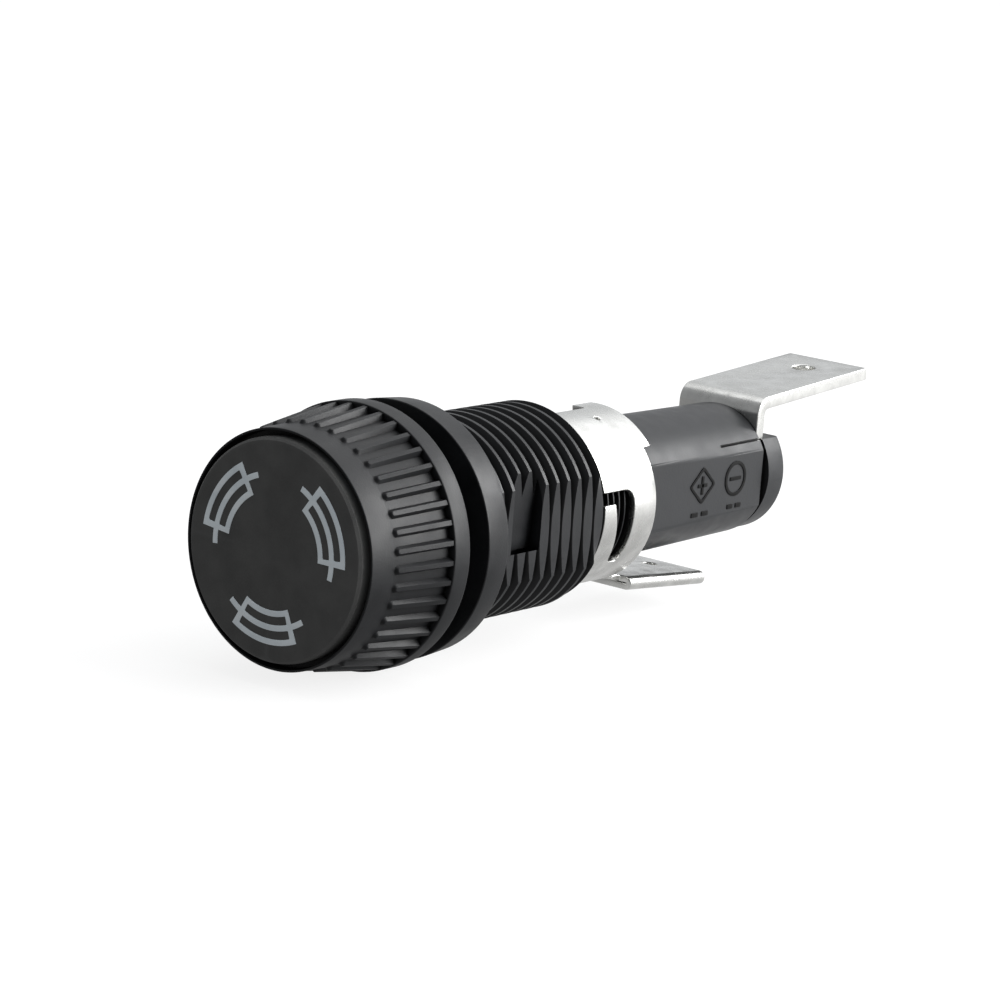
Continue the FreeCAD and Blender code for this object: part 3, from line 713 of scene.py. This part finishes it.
def make_tube_marks():
    """Generic raised marks: a lozenge with a cross, a ring with a bar, four bars below."""
    lozenge = eased([(23.0, 0.25), (24.4, 1.5), (25.8, 0.25), (24.4, -1.0)], 0.25)
    ring = arc((28.0, 0.3), 1.15, 0, 352.5, 47)
    parts = [plate("mark", stroke_loop(lozenge, 0.24), 0.09, 0.02),
             plate("mark", stroke_loop(ring, 0.24), 0.09, 0.02)]
    bars = [(23.9, 24.9, 0.12, 0.36), (24.28, 24.52, -0.35, 0.85), (27.4, 28.6, 0.18, 0.42),
            (23.4, 24.1, -1.75, -1.45), (24.5, 25.2, -1.75, -1.45), (27.3, 27.9, -1.65, -1.35),
            (28.2, 28.8, -1.65, -1.35)]
    for left, right, low, high in bars:
        corners = [(left, low), (right, low), (right, high), (left, high)]
        parts.append(plate("mark", [eased(corners, 0.05)], 0.09, 0.02))
    return bent(joined(parts), [], [], lambda u, v, w: (3.86 + w, u, v))


finished(make_tube_marks(), "tube_marks_look", "holder", "black_plastic", RAISED_MARKS)


# ---------------------------------------------------------------- terminals

STRAP_RADIUS = 5.33
SHEET = 0.4
SIDE_HOLE_STATION, SIDE_HOLE_RADIUS = 24.8, 0.5
BLADE_HALF_WIDTH = 3.15


def make_side_terminal():
    """One folded sheet: strap round the seat, neck, and a blade folded double."""
    def u(degrees):
        return math.radians(degrees + 90) * STRAP_RADIUS

    fold_from, fold_radius = 2.70, 0.23
    reach = fold_from + math.pi * fold_radius + fold_from + 3.0
    outline = [
        (u(-200), 12.0), (u(85.9), 12.0), (u(85.9), 16.0), (u(97), 16.0), (u(97), 17.9),
        (u(40.6), 17.9), (u(40.6), 17.2), (2.2, 17.2), (2.2, 18.6), (reach, 18.6),
        (reach, 26.6), (-BLADE_HALF_WIDTH, 26.6), (-BLADE_HALF_WIDTH, 18.6), (-2.2, 18.6),
        (-2.2, 17.2),
        (u(-200), 17.2),
    ]
    ease = [0.15, 0.15, 0.2, 0.15, 0.2, 0.1, 0.15, 0.5, 0.1, 0.3, 0.9, 0.9, 0.3, 0.1, 0.5, 0.15]
    slot_top, notch_low, slot_low = u(15.5), u(7.5), u(-36)
    opening = [(u(-193.6), 13.0), (u(-166.4), 13.0), (u(-166.4), 16.2), (u(-193.6), 16.2)]
    # the slot is open to the front beside its upper end
    front = [(u(-200), 12.0), (notch_low, 12.0), (notch_low, 13.1), (slot_low, 13.9),
             (slot_low, 15.0), (slot_top, 15.0), (slot_top, 12.0)]
    loop = eased(front + outline[1:],
                 [0.15, 0.12, 0.12, 0.5, 0.5, 0.9, 0.15] + ease[1:], 5)
    folded_over = 2 * fold_from + math.pi * fold_radius
    holes = [arc((0, SIDE_HOLE_STATION), SIDE_HOLE_RADIUS, 0, 345, 23),
             arc((folded_over, SIDE_HOLE_STATION), SIDE_HOLE_RADIUS, 0, 345, 23),
             arc((u(70), 15.3), 0.2, 0, 330, 11)]
    sheet = plate("side_terminal", [loop, eased(opening, 0.2)] + holes, SHEET, 0.05)

    def section(along):
        """Point and outward normal of the blade's folded section."""
        if along <= fold_from:
            return Vector((along, 0)), Vector((0, -1))
        around = (along - fold_from) / fold_radius
        if around <= math.pi:
            out = Vector((math.sin(around), math.cos(around)))
            return Vector((fold_from, -fold_radius)) + fold_radius * out, -out
        rest = along - fold_from - math.pi * fold_radius
        return Vector((fold_from - rest, -2 * fold_radius)), Vector((0, 1))

    def place(a, b, w):
        angle = -math.pi / 2 + a / STRAP_RADIUS
        radius = STRAP_RADIUS + w
        round_seat = Vector((radius * math.cos(angle), b, radius * math.sin(angle)))
        if b <= 17.2:
            return round_seat
        point, normal = section(a)
        cross = point + normal * w
        drop = max(b - 18.6, 0) * math.sin(math.radians(5))
        flat = Vector((cross.x, b, -5.3 + cross.y - drop))
        share = min((b - 17.2) / 1.4, 1.0) if abs(a) < 3.3 else (1.0 if b > 18.0 else 0.0)
        share = share * share * (3 - 2 * share)
        return round_seat.lerp(flat, share)

    across = list(np.arange(u(-198), u(96), 0.42))
    across += [fold_from + math.pi * fold_radius * step / 8 for step in range(9)]
    along = [17.2 + 0.2 * step for step in range(8)]
    strap = bent(sheet, across, along, place)

    # tongue pressed in from the band on the far side
    line, lengths = along_path([(-5.3, 16.7), (-5.3, 16.0), (-4.0, 13.45), (-4.35, 13.0)],
                               [0.5, 0.25])
    strip = [(0, -0.9), (lengths[-1], -0.9), (lengths[-1], 0.9), (0, 0.9)]
    tongue = plate("tongue", [eased(strip, 0.2)], 0.28, 0.04)

    def beside(a, b, w):
        point = line(a, w)
        return Vector((point.x, point.y, b))

    tongue = bent(tongue, lengths[1:-1], [], beside)
    return joined([strap, tongue])


def make_rear_terminal():
    """Leg in the transverse slot, bent over to a blade."""
    slope, half_thickness = 0.9 / 12.6, 0.4
    corner = (31.4, 5.0 - half_thickness + half_thickness * slope)
    line, lengths = along_path([(31.4, -2.5), corner, (43.57, 5.9 - half_thickness)], [0.75])
    end = lengths[-1]
    outline = [(0, -BLADE_HALF_WIDTH), (end, -BLADE_HALF_WIDTH), (end, BLADE_HALF_WIDTH),
               (0, BLADE_HALF_WIDTH)]
    hole = arc((end - 3.0, 0), 0.8, 0, 345, 23)
    sheet = plate("rear_terminal", [eased(outline, [0.5, 0.22, 0.22, 0.5]), hole], 0.8, 0.07)

    def place(a, b, w):
        point = line(a, w)
        return Vector((b, point.x, point.y))

    blade = bent(sheet, lengths[1:-1], [], place)
    dome = skin("contact_dome", np.linspace(0, TURN, 32, endpoint=False),
                [(0.0, 31.05), (1.0, 31.05), (0.98, 30.95), (0.8, 30.84), (0.45, 30.77),
                 (0.0, 30.75)])
    return joined([blade, dome])


finished(make_side_terminal(), "side_terminal_look", "holder", "tin_plate", TIN,
         ["side_terminal"], math.radians(40))
finished(make_rear_terminal(), "rear_terminal_look", "holder", "tin_plate", TIN,
         ["rear_terminal"], math.radians(40))


# ---------------------------------------------------------------- inner parts

def make_contact_sleeve():
    """Drawn sleeve with a floor at its front and four fingers at its rear."""
    blank = lathed("sleeve", [(0.95, -9.4), (3.65, -9.4), (3.65, 16.0), (3.3, 16.0),
                              (3.3, -9.05), (0.95, -9.05)], 0.09, 96, True)
    slits = [prism([(-0.25, 10), (0.25, 10), (0.25, 17), (-0.25, 17)], "z", -5, 5),
             prism([(10, -0.25), (10, 0.25), (17, 0.25), (17, -0.25)], "x", -5, 5)]
    return cut_away(blank, slits)


def make_spring():
    """Compression spring with closed ends."""
    wire, radius, coils = 0.22, 2.25, 7.5
    length = -1.65 - -8.4
    steps = int(coils * 36)
    ring = 10
    points = []
    for step in range(steps + 1):
        t = step / steps
        turn = t * coils
        live = min(max(turn - 0.8, 0), coils - 1.6)
        y = -8.4 + 0.02 + 0.4 * min(turn, 0.8) / 0.8
        y += (length - 0.84) * live / (coils - 1.6)
        y += 0.4 * max(turn - (coils - 0.8), 0) / 0.8
        angle = TURN * turn
        out = Vector((math.cos(angle), 0, math.sin(angle)))
        centre = out * radius + Vector((0, y, 0))
        for side in range(ring):
            a = TURN * side / ring
            points.append(centre + out * wire * math.cos(a) + Vector((0, wire * math.sin(a), 0)))
    faces = []
    for step in range(steps):
        for side in range(ring):
            right = (side + 1) % ring
            faces.append((step * ring + side, step * ring + right,
                          (step + 1) * ring + right, (step + 1) * ring + side))
    faces.append(tuple(range(ring)))
    faces.append(tuple(steps * ring + side for side in range(ring)))
    return mesh_of("spring", points, faces)


finished(make_contact_sleeve(), "contact_sleeve_look", "knob", "nickel", NICKEL,
         ["contact_sleeve"])
spring = finished(make_spring(), "knob_spring_look", "spring", "spring_steel", SPRING_STEEL,
                  ["knob_spring"], math.radians(60))

TURNED = [
    ("contact_rivet", "knob", "nickel", NICKEL, 0.12,
     [(0, -10.5), (1.9, -10.5), (1.9, -10.1), (0.9, -10.1), (0.9, -9.05), (1.6, -9.05),
      (1.6, -8.7), (0, -8.7)]),
    ("pressure_cup", "cup", "nickel", NICKEL, 0.14,
     [(0, -1.1), (3.1, -1.1), (3.1, -4.0), (2.8, -4.0), (2.8, -1.4), (0, -1.4)]),
    ("fuse_front_cap", "fuse", "fuse_cap_plate", CAP_PLATE, 0.2,
     [(0, -1.05), (3.175, -1.05), (3.175, 5.3), (2.93, 5.3), (2.93, -0.83), (0, -0.83)]),
    ("fuse_rear_cap", "fuse", "fuse_cap_plate", CAP_PLATE, 0.2,
     [(0, 30.7), (3.175, 30.7), (3.175, 24.35), (2.93, 24.35), (2.93, 30.48), (0, 30.48)]),
    ("fuse_front_solder", "fuse", "solder", SOLDER, 0.5,
     [(0, -0.83), (1.1, -0.83), (1.1, 0.0), (0.45, 0.37), (0, 0.37)]),
    ("fuse_rear_solder", "fuse", "solder", SOLDER, 0.5,
     [(0, 30.48), (1.1, 30.48), (1.1, 29.65), (0.45, 29.28), (0, 29.28)]),
    ("fuse_wire", "fuse", "fuse_wire", COPPER, 0.02,
     [(0, 0.3), (0.12, 0.3), (0.12, 29.35), (0, 29.35)]),
]
for name, body, slot, material, edge, outline in TURNED:
    finished(lathed(name, outline, edge), name + "_look", body, slot, material, [name])

tube = lathed("fuse_glass", [(2.25, -0.75), (2.93, -0.75), (2.93, 30.4), (2.25, 30.4)], 0.15,
              96, True)
finished(tube, "fuse_glass_look", "fuse", "fuse_glass", GLASS, ["fuse_glass"])

# the spring shortens towards the knob's wall as the knob is pressed home
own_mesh(spring)


# ---------------------------------------------------------------- floor, light, camera

def seen_as(tree, shown, lit):
    """One strength for what the camera sees and another for what lights the object."""
    path = tree.nodes.new("ShaderNodeLightPath")
    mix = tree.nodes.new("ShaderNodeMix")
    tree.links.new(path.outputs["Is Camera Ray"], mix.inputs[0])
    tree.links.new(lit, mix.inputs[2])
    tree.links.new(shown, mix.inputs[3])
    return mix.outputs[0]


def make_floor():
    """Plain pale floor just under the knob's rim, brighter to the camera than as a light."""
    size = 3000
    z = -7.96
    floor = mesh_of("floor", [(-size, -size, z), (size, -size, z), (size, size, z),
                              (-size, size, z)], [(0, 1, 2, 3)])
    floor.data.transform(Matrix.Scale(MM, 4))
    material, tree, shader, where = new_material("pale_floor")
    grain = spread(tree, noise(tree, where, 12), 0.19, 0.21)
    dim = spread(tree, noise(tree, where, 12), 0.02, 0.03)
    tree.links.new(seen_as(tree, grain, dim), shader.inputs["Base Color"])
    shader.inputs["Roughness"].default_value = 0.9
    shader.inputs["Specular IOR Level"].default_value = 0.1
    shader.inputs["Emission Color"].default_value = (1, 1, 1, 1)
    split = tree.nodes.new("ShaderNodeSeparateXYZ")
    tree.links.new(where, split.inputs["Vector"])
    lit = spread(tree, split.outputs["Y"], 0.23, 1.05, -0.02, 0.08)
    shown = spread(tree, noise(tree, where, 12), 0.82, 0.83)
    tree.links.new(seen_as(tree, shown, lit), shader.inputs["Emission Strength"])
    floor.data.materials.append(material)


def softbox(name, place, aim, size, power):
    """Rectangular lamp, places and sizes in metres, power in watts."""
    light = bpy.data.lights.new(name, "AREA")
    light.shape = "RECTANGLE"
    light.size, light.size_y = size
    light.energy = power
    lamp = bpy.data.objects.new(name, light)
    bpy.context.scene.collection.objects.link(lamp)
    lamp.location = Vector(place)
    direction = Vector(aim) - Vector(place)
    lamp.rotation_euler = direction.to_track_quat("-Z", "Y").to_euler()


make_floor()
softbox("right_box", (0.38, 0.24, 0.12), (0, 0.012, 0), (0.30, 0.24), 2.3)
softbox("top_box", (0.10, 0.28, 0.46), (0.10, 0.28, 0), (0.8, 0.7), 2.3)
softbox("rear_box", (0.26, 0.46, 0.26), (0, 0.012, 0), (0.3, 0.24), 2.0)


def make_world():
    """Soft surroundings that are brighter behind the object than in front of it."""
    world = bpy.data.worlds.new("studio")
    world.use_nodes = True
    tree = world.node_tree
    where = tree.nodes.new("ShaderNodeTexCoord")
    split = tree.nodes.new("ShaderNodeSeparateXYZ")
    tree.links.new(where.outputs["Generated"], split.inputs["Vector"])
    lit = spread(tree, split.outputs["Y"], 0.30, 0.70, -0.6, 0.7)
    shown = spread(tree, split.outputs["Z"], 1.0, 1.02, -1, 1)
    level = seen_as(tree, shown, lit)
    background = tree.nodes["Background"]
    background.inputs["Color"].default_value = (0.96, 0.98, 1.0, 1)
    tree.links.new(level, background.inputs["Strength"])
    bpy.context.scene.world = world


make_world()
bpy.context.scene.view_settings.view_transform = "Standard"

AZIMUTH, ELEVATION, ROLL = math.radians(37.72), math.radians(12.05), math.radians(4.35)
CAMERA_PLACE = Vector((138.85, -170.87, 48.93)) * MM
FOCAL_LENGTH = 137.9


def make_camera():
    """Long lens from the front right, a little above the object."""
    back = Vector((math.sin(AZIMUTH) * math.cos(ELEVATION),
                   -math.cos(AZIMUTH) * math.cos(ELEVATION), math.sin(ELEVATION)))
    right = Vector((math.cos(AZIMUTH), math.sin(AZIMUTH), 0))
    up = back.cross(right)
    across = right * math.cos(ROLL) + up * math.sin(ROLL)
    above = up * math.cos(ROLL) - right * math.sin(ROLL)
    data = bpy.data.cameras.new("camera")
    data.lens = FOCAL_LENGTH
    data.sensor_width = 36
    data.clip_start = 0.01
    data.clip_end = 20
    camera = bpy.data.objects.new("camera", data)
    bpy.context.scene.collection.objects.link(camera)
    turn = Matrix((across, above, back)).transposed()
    camera.matrix_world = Matrix.Translation(CAMERA_PLACE) @ turn.to_4x4()
    bpy.context.scene.camera = camera


make_camera()
